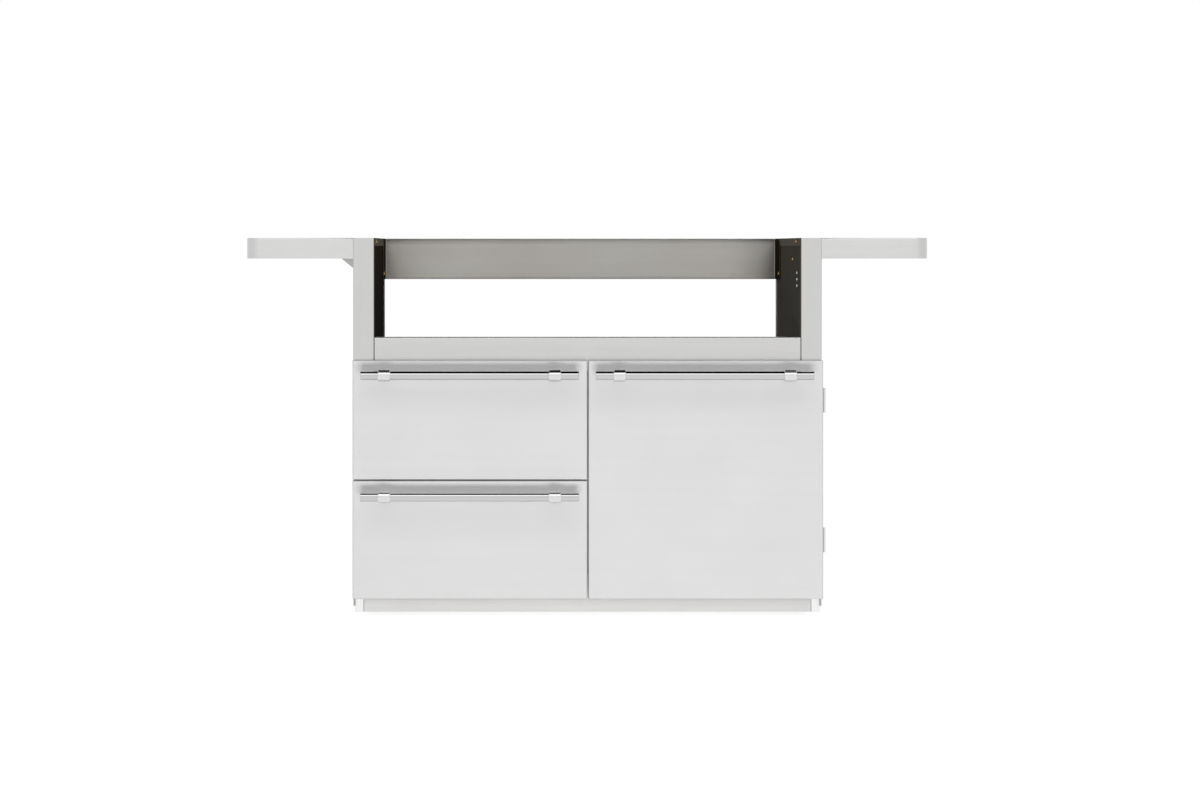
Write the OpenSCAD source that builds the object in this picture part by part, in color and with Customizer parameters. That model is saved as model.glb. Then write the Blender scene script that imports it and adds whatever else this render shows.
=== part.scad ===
// Outdoor grill cart in folded stainless sheet: an open grill bay over two drawers
// and a door, a side shelf at each end, and four swivel casters behind the skirts.
// Millimetres, +Z up, front towards -Y. The origin is on the floor, at the middle
// of the whole cart from side to side and from the handles to the back.

/* [Overall] */
// Height of the posts and shelves above the floor
cart_h = 860; // [820:1:940]
// Width over the two side panels
body_w = 1064; // [960:1:1240]
// Depth of the cabinet behind its fronts
body_d = 590; // [570:1:680]

/* [Sheet metal] */
// Thickness of the folded sheet
sheet_t = 1.5; // [1.2:0.1:2]
// Inside radius of a bend
bend_r = 1.5; // [1:0.1:2.5]

/* [Side panels and posts] */
// Width of a post, seen from the front
post_w = 47.5; // [42:0.5:60]
// Depth of the flange that turns back from a post
return_d = 20; // [14:1:28]
// Height of the lip that turns down from the top ledge
ledge_lip = 18; // [14:1:28]
// Height of a side panel's bottom edge above the floor
side_bottom = 24; // [14:1:50]
// Height of the folded hem inside that edge
hem_h = 15; // [8:1:20]

/* [Apron, deck and rear panel] */
// Height of the apron's top edge above the floor
apron_top = 635; // [622:1:680]
// Depth of the apron's flanges
apron_d = 25; // [15:1:35]
// How far the apron reaches down behind the fronts
apron_lap = 24; // [16:0.5:30]
// How far the bay deck lies below the apron's top edge
deck_drop = 33; // [24:1:40]
// Depth of the deck's side flanges
deck_flange = 22; // [12:1:30]
// Height of the rear cross panel
rear_h = 100; // [96:1:130]
// Depth of the rear cross panel's top and bottom flanges
rear_flange = 25; // [15:1:35]
// Depth of its side flanges, which are screwed to the liners
rear_gusset = 112; // [100:1:140]
// How far the back panel's flanges reach past the posts' return flanges
back_lap = 2; // [1:0.5:6]
// Width of the foot turned out under each liner
liner_foot = 15; // [8:1:24]
// Height of the lip turned down at the floor's front edge
floor_lip = 14; // [8:1:20]
// Width of the centre divider
divider_w = 25; // [20:0.5:40]

/* [Vents in the back panel] */
// Length of a vent slot
vent_l = 90; // [60:1:120]
// Height of a vent slot
vent_h = 6; // [4:0.5:9]
// Distance from one slot to the next
vent_pitch = 20; // [14:1:26]
// Slots in each bank
vent_rows = 7; // [3:1:9]
// Distance from the panel's top edge down to the first slot
vent_drop = 60; // [40:1:80]

/* [Fronts] */
// Thickness of the drawer fronts and the door
front_t = 22; // [18:0.5:30]
// Gap between the fronts and the cabinet, where the hinge leaves lie
front_gap = 5; // [4.8:0.1:7]
// Gap between neighbouring fronts
reveal = 3; // [2:0.5:5]
// Height of the fronts' bottom edge above the floor
front_bottom = 43.5; // [34:0.5:60]
// Height of the fronts' top edge above the floor
front_top = 582.5; // [570:0.5:590]
// Height of the middle of the gap between the drawers
drawer_split = 312; // [300:0.5:324]
// Clearance of a sheet that is welded inside another
skin_fit = 0.1; // [0.05:0.05:0.3]

/* [Drawer boxes] */
// Height of a drawer box
box_h = 180; // [120:1:190]
// Length of a drawer box behind its front
box_l = 528; // [500:1:535]
// Width of the safety return along the top of its sides
box_return = 9; // [6:1:14]
// Height of the lower box above the cabinet floor
box_lift = 11; // [6:1:18]
// Height of the upper box above the gap between the drawers
box_rise = 20; // [10:1:40]

/* [Drawer slides] */
// Length of each slide member
slide_l = 500; // [480:10:510]
// Space that a closed slide takes between cabinet and drawer
slide_w = 12.7; // [12.5:0.1:13.5]
// Height of the cabinet member
slide_h = 45; // [44:0.5:50]
// Sheet of the slide members
slide_t = 1.2; // [1:0.1:1.3]
// Radius of a ball
ball_r = 1.9; // [1.8:0.05:2]
// Clearance of a ball in its race
ball_fit = 0.1; // [0.05:0.01:0.12]
// Balls in one row
ball_count = 6; // [4:1:8]
// Distance from one ball to the next
ball_pitch = 30; // [15:1:32]
// Sheet of the ball cage
cage_t = 0.8; // [0.5:0.1:0.9]
// How far the drawers pull out
drawer_travel = 480; // [440:10:480]

/* [Handles] */
// Length of a handle bar
bar_l = 490; // [440:1:505]
// Radius of a handle bar
bar_r = 10; // [8:0.5:11]
// Distance from a front's face to its bar's axis
bar_reach = 60; // [45:1:65]
// Distance from a front's top edge down to its bar's axis
bar_drop = 31; // [24:0.5:50]
// Distance between a bar's two collars
collar_span = 382; // [300:1:420]
// How far the door's handle stands off the door's middle, towards the opening edge
door_bar_shift = 6.5; // [0:0.5:8]
// Radius of a collar
collar_r = 13.5; // [12.5:0.5:16]
// Width of a collar
collar_w = 27; // [18:1:32]
// Radius of the stand-off post behind a collar
standoff_r = 8.5; // [6:0.5:10]
// Clearance of the bar in its collars
collar_fit = 0.05; // [0.02:0.01:0.1]
// Thickness of the foot under a stand-off post
foot_t = 3; // [2:0.5:5]
// How far that foot stands out round its post
foot_rim = 3; // [2:0.5:5]

/* [Hinges and catch] */
// Height of a hinge
hinge_h = 56; // [44:1:80]
// Width of a hinge leaf
leaf_w = 32; // [24:1:40]
// Thickness of a hinge leaf
leaf_t = 2; // [1.5:0.1:2.1]
// Radius of a hinge knuckle
knuckle_r = 4; // [3.8:0.1:4.2]
// Radius of a hinge pin
hinge_pin_r = 2.5; // [2:0.1:2.8]
// How far the pin's axis stands outside the side panel
hinge_out = 4; // [3.8:0.1:5]
// Height of the upper hinge's middle above the floor
hinge_z_upper = 492; // [430:1:540]
// Height of the lower hinge's middle above the floor
hinge_z_lower = 175; // [130:1:240]
// Running clearance of pins and axles
run_fit = 0.05; // [0.02:0.01:0.1]
// Length of the magnet catch
catch_l = 46; // [36:1:60]
// Height of the magnet catch
catch_h = 14; // [10:1:18]
// Distance from the divider to the catch
catch_side = 20; // [10:1:60]

/* [Shelves] */
// Length of a side shelf
shelf_l = 244; // [180:1:320]
// Height of a shelf's lip
shelf_lip = 47; // [40:1:52]
// Radius of a shelf's outer corners, seen from above
shelf_corner_r = 30; // [12:1:45]
// How far a shelf's front lip stands behind the posts
shelf_inset = 6; // [3:0.5:20]
// Length of a shelf bracket's top edge
bracket_l = 103; // [90:1:150]
// Height of a shelf bracket
bracket_h = 82; // [80:1:120]
// Width of a bracket's flanges
bracket_flange = 24; // [20:1:30]
// Thickness of a bracket
bracket_t = 2; // [1.5:0.1:3]
// Height of a bracket's blunt outer tip
bracket_tip = 5; // [3:0.5:12]
// Width of a bracket's blunt lower end
bracket_toe = 8; // [4:0.5:14]
// Distance from the posts' face back to the bracket
bracket_y = 445; // [430:1:480]

/* [Fasteners] */
// Radius of a shelf bolt's shank
bolt_r = 4; // [3:0.5:5]
// Height of a shelf bolt's head
bolt_head_h = 5; // [4:0.5:7]
// Height of its nut
bolt_nut_h = 5.5; // [4:0.5:7]
// How far its shank reaches past the sheets it holds
bolt_tail = 9; // [7.5:0.5:12]
// Distance from the posts' face back to the front bolt of a shelf
bolt_front_y = 60; // [40:1:120]
// Distance from the posts' face back to its middle bolt
bolt_middle_y = 250; // [180:1:320]
// Distance from the top down to the row of shelf bolts
bolt_drop = 28; // [24:1:34]
// Distance from the top down to the bolt in the bracket's lower end
bolt_low_drop = 68; // [62:1:72]
// Radius of a wall screw's shank
screw_r = 2; // [1.5:0.25:2.5]
// Radius of a wall screw's head
screw_head_r = 3.8; // [3:0.1:5]
// Height of that head
screw_head_h = 2.2; // [1.5:0.1:3]
// Length of its shank
screw_l = 8; // [6:0.5:14]
// Distance from the posts' face back to the ledge screws
ledge_screw_y = 100; // [60:1:150]
// Distance from the top down to the ledge screws
ledge_screw_drop = 8; // [6:0.5:9]
// Distance from a rear gusset's front edge back to its screw
gusset_screw_in = 12; // [8:0.5:30]
// Distance from the top down to the gusset screws
gusset_screw_drop = 85; // [60:1:90]
// Distance from the posts' face back to the fifth brass screw
extra_screw_y = 186; // [150:1:260]
// Distance from the top down to the fifth brass screw
extra_screw_drop = 49; // [35:1:60]
// Distance from the posts' face back to the three bright screws
wall_screw_y = 92; // [40:1:120]
// Distance from the top down to the first of them
wall_screw_drop = 80; // [70:1:100]
// Distance from one of them to the next
wall_screw_pitch = 15; // [10:1:20]
// Clearance of a screw or bolt in its hole
hole_fit = 0.1; // [0.05:0.05:0.3]

/* [Base] */
// Height of the skirts' bottom edge above the floor
skirt_clear = 10; // [8:1:20]
// Width of a skirt's front end, beside the kick panel
skirt_end = 20; // [15:1:26]
// How far the kick panel stands behind the posts
kick_inset = 8; // [5:1:14]
// Depth of the kick panel's flanges
kick_flange = 18; // [12:1:22]
// Gap between the kick panel and a skirt's end
kick_fit = 0.3; // [0.1:0.1:1]

/* [Casters] */
// Height of the cabinet's underside above the floor
caster_h = 100; // [98:0.5:108]
// Diameter of a wheel
wheel_d = 75; // [70:1:77]
// Width of a wheel's tread
wheel_w = 25; // [20:1:28]
// Distance from the swivel axis to the axle
trail = 28; // [22:1:30]
// Distance from a side panel's face to the swivel axis
caster_side = 114; // [112:1:140]
// Distance from the posts' face to the front swivel axis
caster_front = 104; // [102:1:130]
// Distance from the back edge to the rear swivel axis
caster_rear = 98; // [94:1:130]
// Thickness of the caster's top plate
plate_t = 3; // [2.5:0.1:4]
// Width of the top plate
plate_w = 64; // [56:1:70]
// Length of the top plate
plate_l = 76; // [60:1:84]
// Height of the race housing
race_h = 8; // [6:0.5:9]
// Radius of the race housing
race_r = 20; // [18:0.5:22]
// Radius of the fork's crown
crown_r = 24; // [23:0.5:26]
// Thickness of the fork's crown
crown_t = 5; // [3:0.5:6]
// Radius of the kingpin
kingpin_r = 5; // [4:0.5:6]
// Height and rim of the kingpin's riveted head
rivet_h = 3; // [2:0.5:3]
// Radius of an axle bolt
axle_r = 4; // [3:0.5:5]
// Height of an axle bolt's head and of its nut
axle_head_h = 4; // [3:0.5:5]
// Thickness of a fork leg
leg_t = 2.5; // [2:0.1:3]
// Radius of a fork leg's rounded lower end
leg_end_r = 10; // [8:0.5:12]
// Depth of a wheel's tread
tread_d = 13; // [10:0.5:15]
// Radius of the tread's rounded shoulders
shoulder_r = 5; // [3:0.5:6]
// Wall of a wheel's hub round its axle
hub_t = 7; // [5:0.5:9]
// Clearance between moving faces of a caster
caster_gap = 0.4; // [0.3:0.05:0.6]
// Radius of a brake pedal's pin
pedal_pin_r = 2; // [1.5:0.1:2.2]
// Length of a brake pedal's tongue
pedal_l = 40; // [34:1:44]
// Thickness of the pedal's sheet
pedal_t = 2; // [1.5:0.1:2.5]

/* [Hidden] */
$fn = 48;
small = 0.01;
bend_out = bend_r + sheet_t;

// Depth stations, from the handles to the back
overall_d = bar_reach + collar_r + front_t + front_gap + body_d;
face_y = bar_reach + collar_r - overall_d / 2;
cab_y = face_y + front_t + front_gap;
back_y = cab_y + body_d;

// Width stations
half_w = body_w / 2;
post_x = half_w - post_w;
liner_x = post_x + sheet_t;
opening_w = 2 * post_x;
front_w = half_w - reveal / 2;
front_mid = (half_w + reveal / 2) / 2;

// Height stations
floor_top = caster_h + sheet_t;
apron_bottom = front_top - apron_lap;
deck_top = apron_top - deck_drop;
ledge_z = cart_h - sheet_t;
back_top = deck_top - sheet_t;
back_flange = return_d + back_lap;

// Drawers: bottom of the front, height of the front, bottom of the box
lower = [front_bottom, drawer_split - reveal / 2 - front_bottom, floor_top + box_lift];
upper = [drawer_split + reveal / 2, front_top - drawer_split - reveal / 2, drawer_split + box_rise];
bay_left = -liner_x;
bay_right = -divider_w / 2;
box_w = bay_right - bay_left - 2 * slide_w;
box_mid = (bay_left + bay_right) / 2;

// Slides: each member's height steps in by the sheet and a ball
race_step = slide_t + 2 * (ball_r + ball_fit);
slide_start = 2;
slide_y = cab_y + return_d + slide_start;
member_gap = 1.6;
middle_u = slide_t + member_gap;
inner_u = middle_u + slide_t + member_gap;
middle_h = slide_h - 2 * race_step;
inner_h = middle_h - 2 * race_step;
mouth_gap = 1.9;
cage_gap = 0.3;
lip_end = slide_w - mouth_gap;
lip_h = 2.7;
slide_r = 0.6;
ball_u = 7;
outer_ball_z = slide_h / 2 - slide_t - ball_r - ball_fit;
inner_ball_z = middle_h / 2 - slide_t - ball_r - ball_fit;
cage_end = lip_end - slide_t - cage_gap;
cage_lap = 8;
cage_l = (ball_count - 1) * ball_pitch + 2 * cage_lap;
member_lap = slide_l - drawer_travel / 2;
outer_cage_y = slide_l - (member_lap + cage_l) / 2;
inner_cage_y = (member_lap - cage_l) / 2;

// Hinges
hinge_x = half_w + hinge_out;
hinge_y = cab_y - front_gap / 2;
knuckle_gap = 0.4;
leaf_clear = 0.5;

// Fasteners: [distance behind the posts' face, height above the floor]
ledge_screw = [ledge_screw_y, cart_h - ledge_screw_drop];
gusset_screw = [body_d - rear_gusset + gusset_screw_in, cart_h - gusset_screw_drop];
extra_screw = [extra_screw_y, cart_h - extra_screw_drop];
wall_screws_at = [for (i = [0:2]) [wall_screw_y, cart_h - wall_screw_drop - i * wall_screw_pitch]];
bracket_bolt_y = bracket_y + (bracket_t + bracket_flange) / 2;
shelf_bolts_at = [[bolt_front_y, cart_h - bolt_drop], [bolt_middle_y, cart_h - bolt_drop],
    [bracket_bolt_y, cart_h - bolt_drop], [bracket_bolt_y, cart_h - bolt_low_drop]];
bolt_hex_r = 1.65 * bolt_r;

// Casters
wheel_r = wheel_d / 2;
leg_x = wheel_w / 2 + 2;
race_bottom = caster_h - plate_t - race_h;
crown_top = race_bottom - caster_gap;
crown_bottom = crown_top - crown_t;
caster_x = half_w - caster_side;
corners = [[-caster_x, cab_y + caster_front], [caster_x, cab_y + caster_front],
    [-caster_x, back_y - caster_rear], [caster_x, back_y - caster_rear]];
pedal_y = trail + 9;
pedal_z = crown_bottom;
pedal_r = 3.5;
toe_l = 8;
shoe_y = 6;
shoe_l = 8;
shoe_h = 9.5;

// A strip of sheet seen on edge, folded to the left at the end of each leg but the
// last. It starts at the origin along +X, and each leg is an outside length.
module folded_strip(legs, t, r, i = 0) {
    bend = r + t;
    lead = i == 0 ? 0 : bend;
    tail = i == len(legs) - 1 ? 0 : bend;
    run = legs[i] - lead - tail;
    square([run, t]);
    if (i < len(legs) - 1) {
        translate([run, bend]) {
            intersection() {
                difference() {
                    circle(bend);
                    circle(r);
                }
                translate([0, -bend]) square(bend);
            }
            translate([bend, 0]) rotate(90) folded_strip(legs, t, r, i + 1);
        }
    }
}

// Channel with lips, its web on the Y axis and its mouth towards +X
module lipped_channel(h, depth, lip, t, r) {
    translate([depth, h / 2 - lip]) rotate(90) folded_strip([lip, depth, h, depth, lip], t, r);
}

// Channel without lips, its web on the Y axis and its mouth towards +X
module plain_channel(h, depth, t, r) {
    translate([depth, h / 2]) rotate(180) folded_strip([depth, h, depth], t, r);
}

// Rectangle centred on x, from y = 0 back, with its two front corners rounded
module front_rounded(w, d, r) {
    translate([-w / 2, r]) square([w, d - r]);
    translate([-w / 2 + r, 0]) square([w - 2 * r, d]);
    for (side = [-1, 1]) translate([side * (w / 2 - r), r]) circle(r);
}

// Block centred on x, standing on z = 0, whose front face at y = 0 has rounded edges
module front_block(w, h, d, r) {
    intersection() {
        linear_extrude(h) front_rounded(w, d, r);
        translate([w / 2, 0, h / 2]) rotate([0, -90, 0]) linear_extrude(w) front_rounded(h, d, r);
    }
}

// Folded pan: a face at y = 0 with four flanges turned back, open behind
module pan(w, h, d) {
    difference() {
        front_block(w, h, d, bend_out);
        translate([0, sheet_t, sheet_t]) front_block(w - 2 * sheet_t, h - 2 * sheet_t, d, bend_r);
    }
}

// A round bar along +X from x = 0 with a small chamfer at each end
module chamfered_bar(l, r, c = 1) {
    rotate([0, 90, 0]) rotate_extrude()
        polygon([[0, 0], [r - c, 0], [r, c], [r, l - c], [r - c, l], [0, l]]);
}

// Puts a copy at each side: as modelled on the left, mirrored on the right
module both_sides() {
    children();
    mirror([1, 0, 0]) children();
}

// Holes or shanks across a side wall, at [distance behind the posts, height] places
module across_wall(places, x, l, r) {
    for (p = places)
        translate([x, cab_y + p[0], p[1]]) rotate([0, 90, 0]) cylinder(h = l, r = r);
}

// One side panel with its posts, ledge and hem, modelled on the left
module side_panel() {
    difference() {
        union() {
            translate([0, 0, side_bottom]) linear_extrude(ledge_z - side_bottom)
                translate([-post_x, back_y - return_d]) rotate(90)
                    folded_strip([return_d, post_w, body_d, post_w, return_d], sheet_t, bend_r);
            translate([0, 0, ledge_z]) linear_extrude(sheet_t)
                translate([-half_w, cab_y]) rounded_plan(post_w, body_d, bend_out);
            translate([-liner_x, cab_y + return_d, cart_h - ledge_lip])
                cube([sheet_t, body_d - 2 * return_d, ledge_lip - sheet_t / 2]);
            translate([-half_w + sheet_t - small, cab_y + bend_out, side_bottom])
                cube([sheet_t + small, body_d - 2 * bend_out, hem_h]);
        }
        // rounded edge between the outer face and the top ledge
        translate([-half_w, back_y + 1, cart_h]) rotate([90, 0, 0])
            linear_extrude(body_d + 2) corner_cut(bend_out);
        // below the cabinet floor only the outer face and its hem go on
        translate([-half_w + 2 * sheet_t, cab_y - 1, side_bottom - 1])
            cube([post_w, body_d + 2, floor_top - side_bottom + 1]);
        across_wall([ledge_screw], -liner_x - 1, sheet_t + 2, screw_r + hole_fit);
        across_wall(shelf_bolts_at, -half_w - 1, sheet_t + 2, bolt_r + hole_fit);
    }
}

// Rectangle with one corner at the origin and all four corners rounded
module rounded_plan(w, d, r) {
    translate([r, 0]) square([w - 2 * r, d]);
    translate([0, r]) square([w, d - 2 * r]);
    for (x = [r, w - r], y = [r, d - r]) translate([x, y]) circle(r);
}

// What comes off a square corner at the origin, lying towards +X and -Y, to round it
module corner_cut(r) {
    difference() {
        translate([-1, -r]) square([r + 1, r + 1]);
        translate([r, -r]) circle(r);
    }
}

module side_panel_left() color("gainsboro") side_panel();
module side_panel_right() color("gainsboro") mirror([1, 0, 0]) side_panel();

// Inner wall of the bay and cabinet, with feet turned out over the cabinet floor
module side_liner(screws) {
    difference() {
        translate([0, back_y - bend_out, 0]) rotate([90, 0, 0])
            linear_extrude(body_d - 2 * bend_out) translate([-liner_x - liner_foot, floor_top])
                folded_strip([liner_foot, ledge_z - floor_top], sheet_t, bend_r);
        across_wall(screws, -liner_x - sheet_t - 1, sheet_t + 2, screw_r + hole_fit);
    }
}

module side_liner_left() color("dimgray") side_liner([ledge_screw, gusset_screw]);
module side_liner_right() color("dimgray") mirror([1, 0, 0])
    side_liner(concat([ledge_screw, gusset_screw, extra_screw], wall_screws_at));

// Cross panel under the bay's open front
module front_apron() color("gainsboro")
    translate([0, cab_y, apron_bottom]) pan(opening_w, apron_top - apron_bottom, apron_d);

// Cross panel at the top of the bay's back, its long side flanges screwed to the walls
module rear_cross_panel() color("lightgray") difference() {
    union() {
        translate([0, back_y, cart_h - rear_h]) rotate(180) pan(opening_w, rear_h, rear_flange);
        both_sides() translate([-post_x, back_y - rear_gusset, cart_h - rear_h])
            cube([sheet_t, rear_gusset - bend_out, rear_h]);
    }
    both_sides() across_wall([gusset_screw], -post_x - 1, sheet_t + 2, screw_r + hole_fit);
}

// Panel that closes the cabinet's back, with a bank of vent slots behind each bay and a
// flat bar welded behind each edge
module back_panel() color("lightgray") {
    panel_h = back_top - floor_top;
    edge_w = sheet_t + skin_fit;
    translate([-post_x, back_y, floor_top]) rotate([90, 0, 0]) linear_extrude(sheet_t) difference() {
        square([opening_w, panel_h]);
        for (side = [-1, 1], row = [0:vent_rows - 1])
            translate([opening_w / 2 + side * (opening_w + divider_w) / 4,
                panel_h - vent_drop - row * vent_pitch]) vent_slot();
    }
    translate([0, back_y - back_flange, floor_top]) {
        both_sides() translate([-post_x, 0, 0])
            cube([sheet_t, back_flange - edge_w, panel_h - bend_r]);
        for (z = [0, panel_h - sheet_t]) translate([edge_w - post_x, 0, z])
            cube([opening_w - 2 * edge_w, back_flange - edge_w, sheet_t]);
    }
}

// One vent slot with round ends
module vent_slot() {
    square([vent_l - vent_h, vent_h], center = true);
    for (side = [-1, 1]) translate([side * (vent_l - vent_h) / 2, 0]) circle(vent_h / 2);
}

// Deck between the grill bay and the cabinet, with side flanges against the liners
module bay_deck() color("silver")
    translate([0, back_y - return_d - small, 0]) rotate([90, 0, 0])
        linear_extrude(body_d - return_d - apron_d - 2 * small)
            translate([0, deck_top]) rotate(-90) plain_channel(2 * liner_x, deck_flange, sheet_t, bend_r);

// Cabinet floor, with a lip turned down behind the kick panel and notched for the skirts
module cabinet_floor() color("silver") difference() {
    translate([-half_w + sheet_t, 0, 0]) rotate([90, 0, 90]) linear_extrude(body_w - 2 * sheet_t)
        translate([cab_y + kick_inset + kick_flange, caster_h + sheet_t - floor_lip]) rotate(90)
            mirror([0, 1]) folded_strip([floor_lip, body_d - kick_inset - kick_flange - bend_out],
                sheet_t, bend_r);
    both_sides() translate([-half_w, cab_y + kick_inset, caster_h - floor_lip])
        cube([2 * sheet_t + skirt_end + kick_fit, kick_flange + 2 * bend_out, floor_lip]);
}

// Upright between the two bays, folded with its back open
module centre_divider() color("gainsboro") difference() {
    translate([0, cab_y, floor_top]) linear_extrude(back_top - floor_top)
        rotate(90) plain_channel(divider_w, body_d - back_flange - small, sheet_t, bend_r);
    translate([-divider_w, cab_y - 1, apron_bottom])
        cube([2 * divider_w, apron_d + 1, back_top - apron_bottom + 1]);
}

// One base skirt, a pan that faces outwards; its front end shows beside the kick panel
module base_skirt() color("gainsboro")
    translate([-half_w + 2 * sheet_t, (cab_y + kick_inset + back_y - sheet_t) / 2, skirt_clear])
        rotate(-90) pan(body_d - kick_inset - sheet_t, caster_h - skirt_clear, skirt_end);

module base_skirt_left() base_skirt();
module base_skirt_right() mirror([1, 0, 0]) base_skirt();

// Panel across the front of the base
module kick_panel() color("gainsboro")
    translate([0, cab_y + kick_inset, skirt_clear])
        pan(body_w - 2 * (2 * sheet_t + skirt_end + kick_fit), caster_h - skirt_clear, kick_flange);

// Section of a shelf's lip with its bend, the outer face on x = 0 and the top on y = 0
module lip_section() {
    translate([-sheet_t, -shelf_lip]) square([sheet_t, shelf_lip - bend_out]);
    intersection() {
        translate([-bend_out, -bend_out]) difference() {
            circle(bend_out);
            circle(bend_r);
        }
        translate([-bend_out, -bend_out]) square(bend_out);
    }
    translate([-bend_out - sheet_t, -sheet_t]) square([sheet_t + small, sheet_t]);
}

// A straight lip along +Y from the origin, its outer face towards +X
module straight_lip(l) {
    translate([0, l, 0]) rotate([90, 0, 0]) linear_extrude(l) lip_section();
}

// A lip round a quarter corner whose centre is at the origin, from +X to +Y
module corner_lip() {
    rotate_extrude(angle = 90, $fn = 64) translate([shelf_corner_r, 0]) lip_section();
}

// One side shelf, modelled on the right: a pan with a bolting flange on the panel
module shelf() {
    d = body_d - 2 * shelf_inset;
    straight_l = shelf_l - shelf_corner_r;
    flat = bend_out + sheet_t / 2;
    difference() {
        translate([half_w, cab_y + shelf_inset, cart_h]) {
            translate([0, 0, -sheet_t]) linear_extrude(sheet_t) {
                translate([0, flat]) square([straight_l, d - 2 * flat]);
                translate([0, shelf_corner_r]) square([shelf_l - flat, d - 2 * shelf_corner_r]);
                for (y = [shelf_corner_r, d - shelf_corner_r])
                    translate([straight_l, y]) circle(shelf_corner_r - flat);
            }
            translate([0, flat, -shelf_lip]) cube([sheet_t, d - 2 * flat, shelf_lip - sheet_t / 2]);
            translate([shelf_l, shelf_corner_r, 0]) straight_lip(d - 2 * shelf_corner_r);
            translate([straight_l, 0, 0]) rotate(-90) straight_lip_back(straight_l);
            translate([0, d, 0]) rotate(90) straight_lip_back(straight_l);
            translate([straight_l, d - shelf_corner_r, 0]) corner_lip();
            translate([straight_l, shelf_corner_r, 0]) rotate(-90) corner_lip();
        }
        mirror([1, 0, 0]) across_wall(shelf_bolts_at, -half_w - sheet_t - 1, sheet_t + 2, bolt_r + hole_fit);
    }
}

// A straight lip that runs back along -Y from the origin
module straight_lip_back(l) {
    translate([0, -l, 0]) straight_lip(l);
}

module shelf_left() color("gainsboro") mirror([1, 0, 0]) shelf();
module shelf_right() color("gainsboro") shelf();

// One gusset under the back of a shelf, modelled on the right
module shelf_bracket() {
    x = half_w + sheet_t;
    difference() {
        translate([x, cab_y + bracket_y, ledge_z]) {
            translate([0, bracket_t, 0]) rotate([90, 0, 0]) linear_extrude(bracket_t)
                polygon([[0, 0], [bracket_l, 0], [bracket_l, -bracket_tip], [bracket_toe, -bracket_h],
                    [0, -bracket_h]]);
            translate([0, 0, -bracket_t]) cube([bracket_l, bracket_flange, bracket_t]);
            translate([0, 0, -bracket_h]) cube([bracket_t, bracket_flange, bracket_h]);
        }
        mirror([1, 0, 0]) across_wall(shelf_bolts_at, -x - bracket_t - 1, bracket_t + 2, bolt_r + hole_fit);
    }
}

module shelf_brackets() color("lightgray") both_sides() shelf_bracket();

// Hexagon bolts through the shelf flange, the bracket and the side panel
module shelf_bolts() color("silver") both_sides() for (p = shelf_bolts_at) {
    seat = p[0] > bracket_y ? sheet_t + bracket_t : sheet_t;
    translate([half_w + seat, cab_y + p[0], p[1]]) rotate([0, 90, 0]) {
        cylinder(h = bolt_head_h, r = bolt_hex_r, $fn = 6);
        translate([0, 0, -seat - sheet_t]) {
            translate([0, 0, -bolt_tail]) cylinder(h = bolt_tail + sheet_t + seat, r = bolt_r);
            translate([0, 0, -bolt_nut_h]) cylinder(h = bolt_nut_h, r = bolt_hex_r, $fn = 6);
        }
    }
}

// One pan-head screw, its head on the wall face at x = 0 and its shank towards -X
module pan_head_screw() {
    rotate([0, 90, 0]) {
        cylinder(h = screw_head_h, r1 = screw_head_r, r2 = screw_head_r - 1);
        translate([0, 0, -screw_l]) cylinder(h = screw_l, r = screw_r);
    }
}

// Brass screws in the walls of the bay: at each ledge, at each gusset, one more at the right
module brass_screws() color("goldenrod") {
    both_sides() {
        translate([-post_x, cab_y + ledge_screw[0], ledge_screw[1]]) pan_head_screw();
        translate([-post_x + sheet_t, cab_y + gusset_screw[0], gusset_screw[1]]) pan_head_screw();
    }
    mirror([1, 0, 0]) translate([-liner_x, cab_y + extra_screw[0], extra_screw[1]]) pan_head_screw();
}

// Three bright screws in a column on the right wall
module wall_screws() color("silver") mirror([1, 0, 0]) for (p = wall_screws_at)
    translate([-liner_x, cab_y + p[0], p[1]]) pan_head_screw();

// Places a slide part at both sides of a drawer: x from the cabinet wall to the drawer
module at_slides(drawer) {
    translate([bay_left, slide_y, drawer[2] + box_h / 2]) children();
    translate([bay_right, slide_y, drawer[2] + box_h / 2]) mirror([1, 0, 0]) children();
}

// Runs a slide section, drawn in width and height, back along the slide
module run_back(l) {
    translate([0, l, 0]) rotate([90, 0, 0]) linear_extrude(l) children();
}

module slide_outer(drawer) color("silver") at_slides(drawer)
    run_back(slide_l) lipped_channel(slide_h, lip_end, lip_h, slide_t, slide_r);

module slide_middle(drawer) color("lightgray") at_slides(drawer)
    run_back(slide_l) translate([middle_u, 0])
        lipped_channel(middle_h, lip_end - middle_u, lip_h, slide_t, slide_r);

module slide_inner(drawer) color("silver") at_slides(drawer)
    run_back(slide_l) translate([slide_w, 0]) mirror([1, 0])
        plain_channel(inner_h, slide_w - inner_u, slide_t, slide_r);

// One row pair of balls in its cage, running from y = 0
module ball_cage(web_u, ball_z) {
    difference() {
        run_back(cage_l) translate([web_u, 0])
            plain_channel(2 * ball_z + cage_t, cage_end - web_u, cage_t, 0.2);
        for (i = [0:ball_count - 1])
            translate([ball_u, cage_lap + i * ball_pitch, -slide_h / 2])
                cylinder(h = slide_h, r = ball_r + ball_fit);
    }
    for (i = [0:ball_count - 1], side = [-1, 1])
        translate([ball_u, cage_lap + i * ball_pitch, side * ball_z]) sphere(ball_r);
}

// The outer balls ride on the back of the middle member, the inner ones on its front,
// so that both rows stay in their races when the drawer is right out
module slide_balls(drawer) color("goldenrod") at_slides(drawer) {
    translate([0, outer_cage_y, 0]) ball_cage(slide_t + (member_gap - cage_t) / 2, outer_ball_z);
    translate([0, inner_cage_y, 0]) ball_cage(middle_u + slide_t + (member_gap - cage_t) / 2, inner_ball_z);
}

// Folded face of a drawer
module drawer_front(drawer) color("whitesmoke")
    translate([-front_mid, face_y, drawer[0]]) pan(front_w, drawer[1], front_t);

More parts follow.
